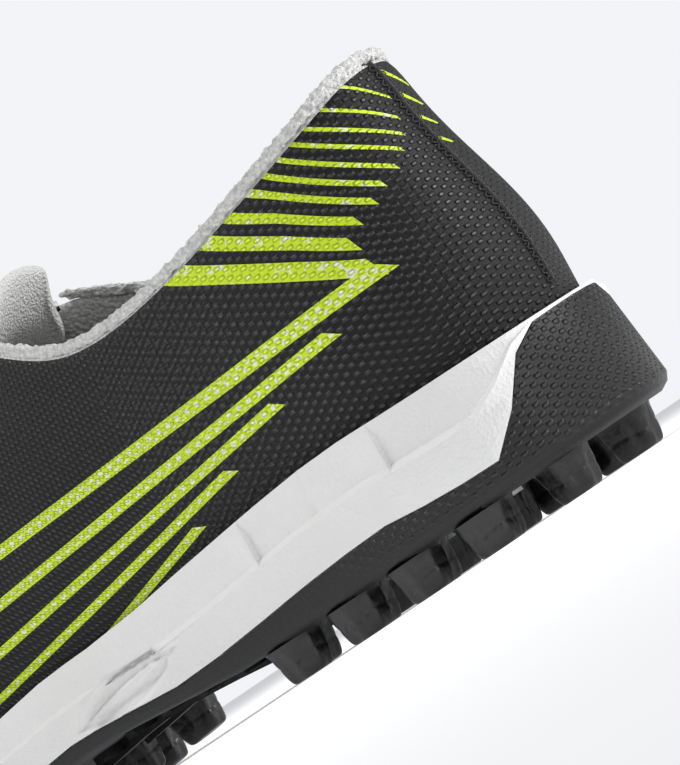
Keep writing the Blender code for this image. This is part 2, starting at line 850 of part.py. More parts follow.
def seat_on_floor(nodes):
    """Parents the nodes to an empty that puts the shoe's middle over the origin and its studs on the floor."""
    bpy.context.view_layer.update()
    graph = bpy.context.evaluated_depsgraph_get()
    corners = []
    for thing in nodes:
        evaluated = thing.evaluated_get(graph)
        corners += [Vector(corner) for corner in evaluated.bound_box]
    low = [min(corner[axis] for corner in corners) for axis in range(3)]
    high = [max(corner[axis] for corner in corners) for axis in range(3)]
    seat = bpy.data.objects.new("shoe_seat", None)
    seat.location = (-(low[0] + high[0]) / 2, -(low[1] + high[1]) / 2, -low[2])
    collection.objects.link(seat)
    for thing in nodes + list(helpers.objects):
        thing.parent = seat
    print("shoe moved by", tuple(round(value, 5) for value in seat.location))


clear_scene()
shoe = [build_outsole(), build_midsole(), build_upper(), build_tongue(), build_insole(), build_laces()]
seat_on_floor(shoe)
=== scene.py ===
# %% [markdown]
# # A turf shoe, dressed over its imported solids
# The solids give the shoe's size and place. This lesson covers them with knit, foam, rubber and lace,
# one piece at a time. Everything is in metres, with the toe toward +X, the outer side toward +Y and
# the floor at z = 0.

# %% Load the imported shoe
import math

import bpy
from mathutils import Matrix, Quaternion, Vector


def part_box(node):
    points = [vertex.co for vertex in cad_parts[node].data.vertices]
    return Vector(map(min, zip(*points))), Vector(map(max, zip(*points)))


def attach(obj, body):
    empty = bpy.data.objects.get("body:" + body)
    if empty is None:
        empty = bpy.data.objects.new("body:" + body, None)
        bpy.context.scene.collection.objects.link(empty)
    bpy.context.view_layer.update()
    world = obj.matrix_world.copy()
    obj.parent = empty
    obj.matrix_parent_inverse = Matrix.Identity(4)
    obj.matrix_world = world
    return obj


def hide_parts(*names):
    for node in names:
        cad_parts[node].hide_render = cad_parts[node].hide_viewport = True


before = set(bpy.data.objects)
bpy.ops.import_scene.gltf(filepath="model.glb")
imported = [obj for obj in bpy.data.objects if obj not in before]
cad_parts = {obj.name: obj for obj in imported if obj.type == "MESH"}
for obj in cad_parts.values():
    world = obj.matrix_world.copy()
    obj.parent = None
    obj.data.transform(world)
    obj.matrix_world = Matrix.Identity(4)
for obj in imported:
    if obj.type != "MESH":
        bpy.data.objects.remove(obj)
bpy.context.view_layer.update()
heel_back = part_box("outsole")[0][0]
print("solids:", sorted(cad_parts), "heel at", round(heel_back, 4))

# %% [markdown]
# ## Camera
# The photograph looks at the rear half of the shoe from behind its outer side, with a long lens and a
# strong tilt. The shoe stands on a floor here, so the camera keeps that angle and tilt and stops just
# over the floor.

# %% Camera
AIM = Vector((-0.0800, 0.0, 0.0480))
BEHIND = math.radians(36)
TILT = math.radians(34)
FAR = 1.4
NEAR_FLOOR = 0.006
LENS = 312
FAR_ENOUGH = 50

bpy.ops.object.select_all(action="DESELECT")
bpy.ops.object.camera_add()
camera = bpy.context.object
camera.name = "photo_camera"
camera.location = AIM + FAR * Vector((-math.sin(BEHIND), math.cos(BEHIND), 0))
camera.location.z = NEAR_FLOOR
look = (AIM - camera.location).to_track_quat("-Z", "Y")
camera.rotation_mode = "QUATERNION"
camera.rotation_quaternion = look @ Quaternion((0, 0, 1), -TILT)
camera.data.lens = LENS
camera.data.clip_end = FAR_ENOUGH
bpy.context.scene.camera = camera
print("camera at", [round(value, 3) for value in camera.location])

# %% [markdown]
# ## Floor and soft light
# A studio photograph on white is lit by large soft boxes. A pale floor and a pale world stand for the
# sweep of paper, and four area lights shape the black pieces, which show almost nothing but their
# highlights.

# %% Floor, world and lights
FLOOR_SIZE = 12
PAPER = (0.90, 0.90, 0.90)
PALE_SKY = (0.96, 0.97, 1.0, 1)
FLOOR_GLOW = 0.38
SKY_LIGHT = 0.26
SKY_SEEN = 0.93


def plain_material(name, colour, roughness):
    material = bpy.data.materials.new(name)
    material.use_nodes = True
    shader = material.node_tree.nodes["Principled BSDF"]
    shader.inputs["Base Color"].default_value = (*colour, 1)
    shader.inputs["Roughness"].default_value = roughness
    return material


bpy.ops.mesh.primitive_plane_add(size=FLOOR_SIZE, location=(0, 0, 0))
floor = bpy.context.object
floor.name = "studio_floor"
paper = plain_material("studio_paper", PAPER, 0.9)
paper_shader = paper.node_tree.nodes["Principled BSDF"]
paper_shader.inputs["Emission Color"].default_value = PALE_SKY
paper_shader.inputs["Emission Strength"].default_value = FLOOR_GLOW
floor.data.materials.append(paper)

world = bpy.data.worlds.new("studio_world")
bpy.context.scene.world = world
world.use_nodes = True
sky = world.node_tree.nodes["Background"]
sky.inputs["Color"].default_value = PALE_SKY
seen = world.node_tree.nodes.new("ShaderNodeLightPath").outputs["Is Camera Ray"]
level = world.node_tree.nodes.new("ShaderNodeMapRange")
level.inputs["To Min"].default_value = SKY_LIGHT
level.inputs["To Max"].default_value = SKY_SEEN
world.node_tree.links.new(seen, level.inputs["Value"])
world.node_tree.links.new(level.outputs["Result"], sky.inputs["Strength"])
bpy.context.scene.view_settings.view_transform = "Standard"

LIGHTS = (
    # name, x, y, z, size, power
    ("key_softbox", 0.55, 0.35, 1.5, 0.6, 13),
    ("side_softbox", 1.2, 0.9, 0.5, 0.5, 4),
    ("heel_softbox", -1.3, -0.6, 0.6, 0.5, 16),
    ("low_softbox", -1.1, 0.35, 0.16, 0.30, 2),
)
for name, x, y, z, size, power in LIGHTS:
    bpy.ops.object.light_add(type="AREA", location=(x, y, z))
    lamp = bpy.context.object
    lamp.name = name
    lamp.data.size = size
    lamp.data.energy = power
    lamp.rotation_euler = (AIM - lamp.location).to_track_quat("-Z", "Y").to_euler()
print("lights:", len(LIGHTS))

# %% [markdown]
# ## Helpers for nodes
# A material here is a small sum of masks. One helper adds a node and links its inputs in order, so a
# formula reads from left to right in the code that follows.

# %% Node helpers
def add_node(tree, kind, *values, output=0, **settings):
    node = tree.nodes.new(kind)
    for key, value in settings.items():
        setattr(node, key, value)
    for socket, value in zip(node.inputs, values):
        if isinstance(value, bpy.types.NodeSocket):
            tree.links.new(value, socket)
        elif value is not None:
            socket.default_value = value
    return node.outputs[output]


def maths(tree, operation, *values, clamp=False):
    return add_node(tree, "ShaderNodeMath", *values, operation=operation, use_clamp=clamp)


def over(tree, share, under, top):
    """Lays one colour over another where share is 1."""
    node = tree.nodes.new("ShaderNodeMix")
    node.data_type = "RGBA"
    for index, value in ((0, share), (6, under), (7, top)):
        if isinstance(value, bpy.types.NodeSocket):
            tree.links.new(value, node.inputs[index])
        else:
            node.inputs[index].default_value = value if index == 0 else (*value, 1)
    return node.outputs[2]


def new_finish(name, roughness, sheen=0.0, coat=0.0):
    material = bpy.data.materials.new(name)
    material.use_nodes = True
    shader = material.node_tree.nodes["Principled BSDF"]
    shader.inputs["Roughness"].default_value = roughness
    shader.inputs["Sheen Weight"].default_value = sheen
    shader.inputs["Sheen Roughness"].default_value = 0.4
    shader.inputs["Coat Weight"].default_value = coat
    shader.inputs["Coat Roughness"].default_value = 0.3
    return material, material.node_tree, shader


def raise_surface(tree, shader, height, distance, strength=1.0):
    """Turns a height into a bump on the shader."""
    bump = tree.nodes.new("ShaderNodeBump")
    bump.inputs["Strength"].default_value = strength
    bump.inputs["Distance"].default_value = distance
    tree.links.new(height, bump.inputs["Height"])
    tree.links.new(bump.outputs["Normal"], shader.inputs["Normal"])


def object_place(tree):
    return add_node(tree, "ShaderNodeTexCoord", output=3)


print("node helpers ready")

# %% [markdown]
# ## A grid that follows the shoe
# Knit runs round the heel and over the toes, so its pattern needs two lengths: one round the shoe and
# one up it. Both come from Object coordinates: an angle round the heel and one round the toes, joined
# by a straight stretch between them.

# %% Lengths round and up the shoe
HEEL_CENTRE = heel_back + 0.036
HEEL_RADIUS = 0.030
TOE_CENTRE = heel_back + 0.236
TOE_RADIUS = 0.036
SEAM_ROUND = HEEL_CENTRE - HEEL_RADIUS * math.pi / 2


def shoe_grid(tree):
    """The length round the shoe from the heel, the length up it, and x, y, z."""
    split = tree.nodes.new("ShaderNodeSeparateXYZ")
    tree.links.new(object_place(tree), split.inputs[0])
    x, y, z = split.outputs
    side = maths(tree, "ABSOLUTE", y)
    heel = maths(tree, "MAXIMUM", maths(tree, "SUBTRACT", HEEL_CENTRE, x), 0.0)
    toe = maths(tree, "MAXIMUM", maths(tree, "SUBTRACT", x, TOE_CENTRE), 0.0)
    heel_turn = maths(tree, "SUBTRACT", maths(tree, "ARCTAN2", side, heel), math.pi / 2)
    toe_turn = maths(tree, "ARCTAN2", toe, side)
    middle = maths(tree, "MINIMUM", maths(tree, "MAXIMUM", x, HEEL_CENTRE), TOE_CENTRE)
    round_heel = maths(tree, "MULTIPLY_ADD", heel_turn, HEEL_RADIUS, middle)
    along = maths(tree, "MULTIPLY_ADD", toe_turn, TOE_RADIUS, round_heel)
    over_foot = maths(tree, "MULTIPLY", maths(tree, "ADD", x, 0.05), 14.0, clamp=True)
    squares = maths(tree, "ADD", maths(tree, "MULTIPLY", y, y), maths(tree, "MULTIPLY", toe, toe))
    out = maths(tree, "SQRT", squares)
    up = maths(tree, "SUBTRACT", z, maths(tree, "MULTIPLY", over_foot, out))
    return along, up, x, y, z


def grains(tree, along, up, length, height):
    """Staggered rows of rounded grains, 1 at the middle of a grain and 0 between them."""
    across = maths(tree, "COSINE", maths(tree, "MULTIPLY", along, 2 * math.pi / length))
    upward = maths(tree, "COSINE", maths(tree, "MULTIPLY", up, 2 * math.pi / height))
    return maths(tree, "MULTIPLY", maths(tree, "MULTIPLY", across, upward), 1.4, clamp=True)


print("seam at", round(SEAM_ROUND, 4))

# %% [markdown]
# ## Printed bands
# The bands are ink on the knit: thin streaks fan out from the collar over the heel, and wider ones
# run forward along the side. Each streak is a line between two places with a width at each end, so a
# table holds them and a loop builds one mask from each row. Lengths are millimetres round the shoe
# from the heel, and heights.

# %% Band tables and masks
STREAKS = (
    # start along, start height, end along, end height, start width, end width
    (70, 88.0, 20.5, 62.0, 4.2, 3.6),
    (61, 91.0, 22.0, 68.5, 3.2, 2.6),
    (54, 93.0, 18.5, 72.0, 2.4, 1.8),
    (47, 95.0, 13.0, 73.5, 1.8, 1.4),
    (42, 96.5, 9.0, 75.5, 1.5, 1.2),
    (37, 98.0, 4.0, 77.0, 1.3, 1.0),
    (32, 99.0, 0.0, 79.5, 1.2, 0.9),
    (27, 100.0, -3.5, 82.0, 1.1, 0.8),
    (20, 101.0, -6.0, 85.5, 1.0, 0.7),
    (10, 102.0, -8.5, 90.0, 1.0, 0.6),
)
BANDS = (
    (19.0, 61.5, 150, 58.5, 3.7, 2.6),
    (36, 56.0, 185, 47.0, 2.8, 2.0),
    (56, 50.6, 170, 39.0, 2.5, 1.8),
    (75, 44.8, 160, 32.5, 2.2, 1.6),
    (90, 39.0, 130, 30.0, 2.0, 1.5),
)
TICKS = (
    (-9.5, 96.0, -1.0, 90.5, 1.2, 0.7),
    (-9.5, 90.0, -2.5, 85.5, 1.2, 0.7),
    (-9.5, 84.0, -4.0, 80.5, 1.1, 0.6),
    (-9.5, 78.0, -5.5, 75.5, 1.1, 0.6),
)


END_SLANT = 1.3


def one_band(tree, along, up, row):
    """A mask that is 1 inside one streak, with both ends cut on the slant."""
    start_along, start_up, end_along, end_up, start_width, end_width = row
    run, rise = (end_along - start_along) / 1000, (end_up - start_up) / 1000
    length = math.hypot(run, rise)
    from_along = maths(tree, "SUBTRACT", along, heel_back + start_along / 1000)
    from_up = maths(tree, "SUBTRACT", up, start_up / 1000)
    first = maths(tree, "MULTIPLY", from_along, run / length ** 2)
    share = maths(tree, "MULTIPLY_ADD", from_up, rise / length ** 2, first)
    first = maths(tree, "MULTIPLY", from_along, rise / length)
    signed = maths(tree, "MULTIPLY_ADD", from_up, -run / length, first)
    aside = maths(tree, "ABSOLUTE", signed)
    half = maths(tree, "MULTIPLY_ADD", share, (end_width - start_width) / 2000, start_width / 2000)
    wide = maths(tree, "LESS_THAN", aside, half)
    slant = END_SLANT / length
    begun = maths(tree, "GREATER_THAN", maths(tree, "MULTIPLY_ADD", signed, slant, share), 0.0)
    ended = maths(tree, "LESS_THAN", maths(tree, "MULTIPLY_ADD", signed, slant, share), 1.0)
    return maths(tree, "MULTIPLY", wide, maths(tree, "MULTIPLY", begun, ended))


def all_bands(tree, along, up, rows):
    mask = None
    for row in rows:
        band = one_band(tree, along, up, row)
        mask = band if mask is None else maths(tree, "MAXIMUM", mask, band)
    return mask


print("streaks", len(STREAKS), "bands", len(BANDS), "ticks", len(TICKS))

# %% [markdown]
# ## Knit of the upper
# The real upper is one knitted sock with raised grains, larger at the heel and finer forward. Its
# black yarn has a soft sheen, and the ink follows the grains. The grain tops are painted lighter as
# a painted highlight and the gaps between them darker as painted shade, in the yarn and the ink
# alike. A bump from the same grid gives the relief, and small white dots lighten the middle of the
# wide bands.

# %% Knit finish
LIME = (0.80, 0.98, 0.04)
LIME_SHADE = (0.64, 0.86, 0.02)
DOT_WHITE = (0.93, 0.97, 0.78)
GAP_PAINTED_SHADE = (0.002, 0.002, 0.0022)
GRAIN_PAINTED_HIGHLIGHT = (0.072, 0.072, 0.075)


def build_knit_finish():
    material, tree, shader = new_finish("black_knit", 0.5, sheen=0.01)
    shader.inputs["Specular IOR Level"].default_value = 0.34
    along, up, x, y, z = shoe_grid(tree)
    place = object_place(tree)
    wobble = add_node(tree, "ShaderNodeTexNoise", place, None, 60.0, 2.0)
    shifted = maths(tree, "MULTIPLY_ADD", wobble, 0.0006, along)
    coarse = grains(tree, shifted, up, 0.0040, 0.0021)
    fine = grains(tree, shifted, up, 0.0026, 0.0015)
    forward = maths(tree, "MULTIPLY", maths(tree, "ADD", x, 0.090), 22.0, clamp=True)
    knit = add_node(tree, "ShaderNodeMix", forward, None, coarse, fine)
    outer = maths(tree, "GREATER_THAN", y, 0.0)
    inner = maths(tree, "SUBTRACT", 1.0, outer)
    heel = maths(tree, "MULTIPLY", maths(tree, "SUBTRACT", -0.050, x), 30.0, clamp=True)
    smooth_side = maths(tree, "MULTIPLY", inner, heel)
    knit = maths(tree, "MULTIPLY", knit, maths(tree, "MULTIPLY_ADD", smooth_side, -0.55, 1.0))

    streaks = maths(tree, "MULTIPLY", all_bands(tree, along, z, STREAKS), outer)
    bands = maths(tree, "MULTIPLY", all_bands(tree, along, z, BANDS), outer)
    narrower = [row[:4] + (row[4] - 1.1, row[5] - 1.1) for row in BANDS]
    inner_bands = maths(tree, "MULTIPLY", all_bands(tree, along, z, narrower), outer)
    ticks = maths(tree, "MULTIPLY", all_bands(tree, along, z, TICKS), inner)
    printed = maths(tree, "MAXIMUM", maths(tree, "MAXIMUM", streaks, bands), ticks)

    yarn = add_node(tree, "ShaderNodeTexNoise", place, None, 900.0, 2.0)
    # painted highlight and painted shade: the share of the light grain-top colour, high on the grains and
    # low in the gaps
    tone = maths(tree, "MULTIPLY", knit, maths(tree, "MULTIPLY_ADD", yarn, 1.6, -0.1, clamp=True))
    dark = over(tree, maths(tree, "MULTIPLY", tone, 0.7, clamp=True), GAP_PAINTED_SHADE, GRAIN_PAINTED_HIGHLIGHT)
    dark = over(tree, maths(tree, "MULTIPLY", smooth_side, 0.7), dark, (0.016, 0.016, 0.017))
    dots = grains(tree, along, z, 0.0030, 0.0028)
    dot_mask = maths(tree, "MULTIPLY", maths(tree, "GREATER_THAN", dots, 0.30), inner_bands)
    worn = maths(tree, "GREATER_THAN", add_node(tree, "ShaderNodeTexNoise", place, None, 420.0, 3.0), 0.60)
    worn_streaks = maths(tree, "MULTIPLY", worn, maths(tree, "MULTIPLY", streaks, 0.7))
    # painted highlight and shade on the lime ink: lighter on the grain tops, LIME_SHADE in the gaps
    ink = over(tree, maths(tree, "MULTIPLY", knit, 0.5), LIME_SHADE, LIME)
    pale = maths(tree, "MAXIMUM", maths(tree, "MULTIPLY", dot_mask, 0.85), worn_streaks)
    ink = over(tree, pale, ink, DOT_WHITE)
    cover = maths(tree, "MULTIPLY", printed, maths(tree, "MULTIPLY_ADD", knit, 0.2, 0.86), clamp=True)
    tree.links.new(over(tree, cover, dark, ink), shader.inputs["Base Color"])

    roughness = maths(tree, "MULTIPLY_ADD", knit, -0.22, 0.62)
    tree.links.new(roughness, shader.inputs["Roughness"])
    height = maths(tree, "MULTIPLY_ADD", yarn, 0.25, knit)
    raise_surface(tree, shader, height, 0.0012, 0.9)
    return material


knit_finish = build_knit_finish()
print("knit nodes:", len(knit_finish.node_tree.nodes))

# %% [markdown]
# ## Terry lining
# The collar is lined with white looped terry, which shows as a fuzzy rim over the black edge. Two
# sizes of noise on the surface stand for the loops, with painted shade in the gaps between them,
# and the sheen stands for the loose fibres.

# %% Lining finish
def build_cloth_finish(name, light, shade, size, depth, sheen=0.35):
    """A looped or woven cloth: light loops with gaps painted darker as shade."""
    material, tree, shader = new_finish(name, 0.9, sheen=sheen)
    place = object_place(tree)
    loops = add_node(tree, "ShaderNodeTexVoronoi", place, None, 1 / size)
    fibres = add_node(tree, "ShaderNodeTexNoise", place, None, 3 / size, 3.0)
    height = maths(tree, "SUBTRACT", maths(tree, "MULTIPLY", fibres, 0.6), loops)
    # painted shade: the gaps between the loops take the darker shade colour
    gaps = maths(tree, "MULTIPLY", loops, 0.9, clamp=True)
    tree.links.new(over(tree, gaps, light, shade), shader.inputs["Base Color"])
    raise_surface(tree, shader, height, depth, 0.9)
    return material


terry_finish = build_cloth_finish(
    "white_terry", (0.82, 0.82, 0.80), (0.46, 0.46, 0.45), 0.0011, 0.0008)
print("lining:", terry_finish.name)

# %% [markdown]
# ## The upper
# A knitted upper has no flat faces, so the solid is copied, its triangles are joined into quads, and
# a Subdivision Surface rounds it. A ray from each face tells the inside from the outside: only an
# inner face looks at another wall.

# %% Copy a solid as a new piece
def copy_of(node_name, piece_name):
    """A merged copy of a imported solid, selected and ready for edit mode."""
    bpy.ops.object.select_all(action="DESELECT")
    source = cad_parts[node_name]
    mesh = source.data.copy()
    mesh.materials.clear()
    piece = bpy.data.objects.new(piece_name, mesh)
    bpy.context.scene.collection.objects.link(piece)
    piece.matrix_world = source.matrix_world.copy()
    bpy.context.view_layer.objects.active = piece
    piece.select_set(True)
    bpy.ops.object.transform_apply(location=True, rotation=True, scale=True)
    bpy.ops.object.mode_set(mode="EDIT")
    bpy.ops.mesh.select_all(action="SELECT")
    bpy.ops.mesh.remove_doubles(threshold=0.00002)
    bpy.ops.mesh.customdata_custom_splitnormals_clear()
    bpy.ops.mesh.faces_shade_smooth()
    bpy.ops.object.mode_set(mode="OBJECT")
    return piece


def to_quads(piece, face_angle=40, shape_angle=60):
    bpy.ops.object.mode_set(mode="EDIT")
    bpy.ops.mesh.select_all(action="SELECT")
    bpy.ops.mesh.tris_convert_to_quads(
        face_threshold=math.radians(face_angle), shape_threshold=math.radians(shape_angle))
    bpy.ops.object.mode_set(mode="OBJECT")


def apply_modifier(piece, kind, name, **settings):
    bpy.context.view_layer.objects.active = piece
    modifier = piece.modifiers.new(name, kind)
    for key, value in settings.items():
        setattr(modifier, key, value)
    bpy.ops.object.modifier_apply(modifier=modifier.name)


def report(piece):
    print(piece.name, "faces:", len(piece.data.polygons))


upper_knit = copy_of("upper", "upper_knit")
to_quads(upper_knit)
report(upper_knit)

# %% [markdown]
# ## Which side of the knit is which
# The lining lies on the inner faces, which look toward the middle of the shoe and meet another wall.
# The rim at the top of the collar is also terry, because the lining rolls over the edge of the black
# knit.

# %% Sort the faces of the upper
upper_knit.data.materials.append(knit_finish)
upper_knit.data.materials.append(terry_finish)


def looks_inside(piece, face):
    middle = Vector((min(max(face.center.x, HEEL_CENTRE), TOE_CENTRE), 0.0, 0.045))
    start = face.center + 0.0006 * face.normal
    at_collar = face.center.z > 0.062 and face.center.x < -0.030
    meets_wall = piece.ray_cast(start, face.normal, distance=0.14)[0]
    return face.normal.dot(middle - face.center) > 0 and (meets_wall or at_collar)


bpy.context.view_layer.update()
inner_faces = [face.index for face in upper_knit.data.polygons if looks_inside(upper_knit, face)]
rim_faces = [
    face.index for face in upper_knit.data.polygons
    if face.normal.z > 0.6 and face.center.z > 0.07 and face.center.x < -0.022
]
for index in inner_faces + rim_faces:
    upper_knit.data.polygons[index].material_index = 1
print("inner faces", len(inner_faces), "rim faces", len(rim_faces))

# %% [markdown]
# ## Terry rim
# The faces of the rim are copied off before the knit is rounded. Solidify gives them body,
# Subdivision Surface rolls them and a Displace with a cloud texture ruffles the loops.

# %% Terry rim piece
bpy.ops.object.select_all(action="DESELECT")
bpy.context.view_layer.objects.active = upper_knit
upper_knit.select_set(True)
bpy.ops.object.mode_set(mode="EDIT")
bpy.ops.mesh.select_mode(type="FACE")
bpy.ops.mesh.select_all(action="DESELECT")
bpy.ops.object.mode_set(mode="OBJECT")
for index in rim_faces:
    upper_knit.data.polygons[index].select = True
bpy.ops.object.mode_set(mode="EDIT")
bpy.ops.mesh.duplicate()
bpy.ops.mesh.separate(type="SELECTED")
bpy.ops.object.mode_set(mode="OBJECT")
collar_terry = [thing for thing in bpy.context.selected_objects if thing != upper_knit][0]
collar_terry.name = "collar_terry"
bpy.ops.object.select_all(action="DESELECT")
collar_terry.select_set(True)
collar_terry.data.materials.clear()
collar_terry.data.materials.append(terry_finish)
for face in collar_terry.data.polygons:
    face.material_index = 0
apply_modifier(collar_terry, "SOLIDIFY", "body", thickness=0.0030, offset=0.35)
apply_modifier(collar_terry, "SUBSURF", "rolled", levels=4, render_levels=4)
clouds = bpy.data.textures.new("terry_clouds", "CLOUDS")
clouds.noise_scale = 0.0013
clouds.noise_depth = 1
apply_modifier(collar_terry, "DISPLACE", "loops", texture=clouds, texture_coords="LOCAL",
               strength=0.0015, mid_level=0.5)
report(collar_terry)

# %% [markdown]
# ## Soft creases
# Worn knit is never as even as a mould. The upper is rounded first, and then a few shallow folds are
# pressed where a foot bends it: behind the ball on the vamp, under the ankle and beside the heel.
# Each is a trough with a soft ridge next to it.

# %% Round and crease the upper
apply_modifier(upper_knit, "SUBSURF", "rounded", levels=2, render_levels=2)

CREASES = (
    # start x, y, z, end x, y, z, width, depth, all in millimetres from the frame's origin
    (62, 42, 34, 40, 20, 66, 5.0, 0.9),
    (74, 42, 34, 56, 16, 62, 5.0, 0.8),
    (62, -42, 34, 42, -18, 66, 5.0, 0.9),
    (76, -40, 34, 58, -14, 62, 5.0, 0.8),
    (-60, 34, 76, -92, 34, 52, 8.0, 0.8),
    (-48, 36, 66, -84, 36, 44, 8.0, 0.7),
    (-60, -34, 76, -92, -34, 52, 8.0, 0.8),
    (-20, 34, 74, 6, 38, 44, 9.0, 0.9),
    (-20, -34, 74, 6, -38, 44, 9.0, 0.9),
)


def crease(piece, rows):
    """Presses a trough along each row's line, with a ridge beside it."""
    normals = [vertex.normal.copy() for vertex in piece.data.vertices]
    for row in rows:
        start, end = Vector(row[0:3]) / 1000, Vector(row[3:6]) / 1000
        width, depth = row[6] / 1000, row[7] / 1000
        run = end - start
        for vertex, normal in zip(piece.data.vertices, normals):
            share = min(max((vertex.co - start).dot(run) / run.length_squared, 0), 1)
            apart = (vertex.co - (start + share * run)).length / width
            if apart < 4:
                wave = (1 - apart ** 2) * math.exp(-apart ** 2 / 1.6)
                fade = math.sin(math.pi * min(max(share, 0.06), 0.94))
                vertex.co -= normal * depth * wave * fade


crease(upper_knit, CREASES)
report(upper_knit)
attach(upper_knit, "root")
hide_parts("upper")
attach(collar_terry, "root")

# %% [markdown]
# ## Back seam
# The knit is closed by one seam down the middle of the heel: a low cord between two lines of zigzag
# thread. A ray from behind finds the surface at each height. One stitch is modelled and copied along
# those places.

# %% Places down the back seam
SEAM_TOP = 0.0985
SEAM_LOW = 0.0400


def heel_surface(height, across=0.0):
    """The point and normal of the knit's back at a height."""
    hit, place, normal, _ = upper_knit.ray_cast(Vector((-0.2, across, height)), Vector((1, 0, 0)))
    return (place, normal) if hit else None


bpy.context.view_layer.update()
seam_places = [heel_surface(SEAM_TOP + (SEAM_LOW - SEAM_TOP) * step / 60) for step in range(61)]
seam_places = [place for place in seam_places if place]
print("seam places:", len(seam_places))

# %% [markdown]
# ## Seam cord
# A small circle is placed at the top and extruded from place to place down the heel, as a person
# would draw it.

# %% Seam cord and stitches
def rod(name, points, radius, sides=8, squash=1.0):
    """A rod along points: a circle extruded step by step, closed at both ends."""
    bpy.ops.object.select_all(action="DESELECT")
    first = (points[1] - points[0]).normalized()
    bpy.ops.mesh.primitive_circle_add(vertices=sides, radius=radius, fill_type="NGON", location=points[0],
                                      rotation=first.to_track_quat("Z", "Y").to_euler())
    made = bpy.context.object
    made.name = name
    bpy.ops.object.transform_apply(location=True, rotation=True, scale=True)
    bpy.ops.object.mode_set(mode="EDIT")
    bpy.ops.mesh.select_all(action="SELECT")
    for here, there in zip(points, points[1:]):
        bpy.ops.mesh.extrude_region_move(TRANSFORM_OT_translate={"value": there - here})
    bpy.ops.mesh.select_all(action="SELECT")
    bpy.ops.mesh.normals_make_consistent(inside=False)
    bpy.ops.mesh.faces_shade_smooth()
    bpy.ops.object.mode_set(mode="OBJECT")
    return made


def copy_piece(source, name, shift, turn=None, scale=1.0):
    """A copy with its own mesh, turned, scaled and moved inside its mesh."""
    made = source.copy()
    made.data = source.data.copy()
    made.name = name
    bpy.context.scene.collection.objects.link(made)
    place = Matrix.Translation(shift) @ Matrix.Scale(scale, 4)
    if turn is not None:
        place = place @ turn.to_matrix().to_4x4()
    made.data.transform(place)
    return made


def join_pieces(pieces, name):
    bpy.ops.object.select_all(action="DESELECT")
    for thing in pieces:
        thing.select_set(True)
    bpy.context.view_layer.objects.active = pieces[0]
    bpy.ops.object.join()
    pieces[0].name = name
    return pieces[0]


seam_points = [place + 0.0002 * normal for place, normal in seam_places]
seam_cord = rod("back_seam_cord", seam_points[::2], 0.0007, sides=10)
thread_finish = build_cloth_finish(
    "black_thread", (0.035, 0.035, 0.037), (0.008, 0.008, 0.008), 0.0005, 0.0003, sheen=0.2)
seam_cord.data.materials.append(thread_finish)

STITCH_PLACES = ((0, -0.0016, 0), (0, -0.0008, 0.00035), (0, 0.0008, 0.00035), (0, 0.0016, 0))
stitch = rod("stitch", [Vector(place) for place in STITCH_PLACES], 0.00032, sides=6)
ZIGZAG = 28
SEAM_HALF = 0.0012
stitches = []
for index, (place, _) in enumerate(seam_places):
    lean = ZIGZAG if index % 2 else -ZIGZAG
    for side, across in ((1, SEAM_HALF), (-1, -SEAM_HALF)):
        slant = Quaternion((0, 0, 1), math.radians(90 + side * lean))
        where = heel_surface(place.z, across)
        if where is None:
            continue
        facing = where[1].to_track_quat("Z", "Y")
        spot = where[0] + 0.0002 * where[1]
        stitches.append(copy_piece(stitch, f"stitch_{index}_{side}", spot, facing @ slant, 0.5))
bpy.data.objects.remove(stitch, do_unlink=True)
seam_stitches = join_pieces(stitches, "back_seam_stitches")
seam_stitches.data.materials.clear()
seam_stitches.data.materials.append(thread_finish)
for piece in (seam_cord, seam_stitches):
    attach(piece, "root")
    report(piece)

# %% [markdown]
# ## Black rubber
# Moulded rubber is matt where the mould was knurled and satin where it was smooth. The heel cup
# carries a woven knurl near its top edge that fades toward the floor, and the flat underside a fine
# pebble. The raised knurl is painted lighter than its gaps as a painted highlight.

# %% Rubber finish
def build_rubber_finish():
    material, tree, shader = new_finish("black_rubber", 0.42)
    shader.inputs["Specular IOR Level"].default_value = 0.42
    along, up, x, y, z = shoe_grid(tree)
    place = object_place(tree)
    ripple = add_node(tree, "ShaderNodeTexNoise", place, None, 140.0, 2.0)
    knurl = grains(tree, maths(tree, "MULTIPLY_ADD", ripple, 0.0016, along), z, 0.0032, 0.0024)
    rear = maths(tree, "MULTIPLY", maths(tree, "SUBTRACT", -0.078, x), 40.0, clamp=True)
    above = maths(tree, "MULTIPLY", maths(tree, "SUBTRACT", z, 0.0105), 260.0, clamp=True)
    knurled = maths(tree, "MULTIPLY", rear, above)
    pebble = add_node(tree, "ShaderNodeTexVoronoi", place, None, 900.0)
    pebbled = maths(tree, "MULTIPLY", pebble, maths(tree, "SUBTRACT", 1.0, knurled))
    grain = add_node(tree, "ShaderNodeTexNoise", place, None, 1800.0, 2.0)
    height = maths(tree, "MULTIPLY_ADD", knurl, knurled, maths(tree, "MULTIPLY", pebbled, -0.10))
    height = maths(tree, "MULTIPLY_ADD", grain, 0.12, height)
    dust = add_node(tree, "ShaderNodeTexNoise", place, None, 45.0, 4.0)
    # painted highlight on the raised knurl, which is painted lighter than its gaps; the dust noise adds
    # real dust
    tone = maths(tree, "MULTIPLY_ADD", dust, 0.35, maths(tree, "MULTIPLY", knurl, knurled), clamp=True)
    colour = over(tree, tone, (0.0025, 0.0025, 0.0027), (0.018, 0.018, 0.019))
    tree.links.new(colour, shader.inputs["Base Color"])
    rough = maths(tree, "MULTIPLY_ADD", dust, 0.20, 0.36)
    tree.links.new(rough, shader.inputs["Roughness"])
    raise_surface(tree, shader, height, 0.0008, 0.75)
    return material


rubber_finish = build_rubber_finish()
print("rubber nodes:", len(rubber_finish.node_tree.nodes))

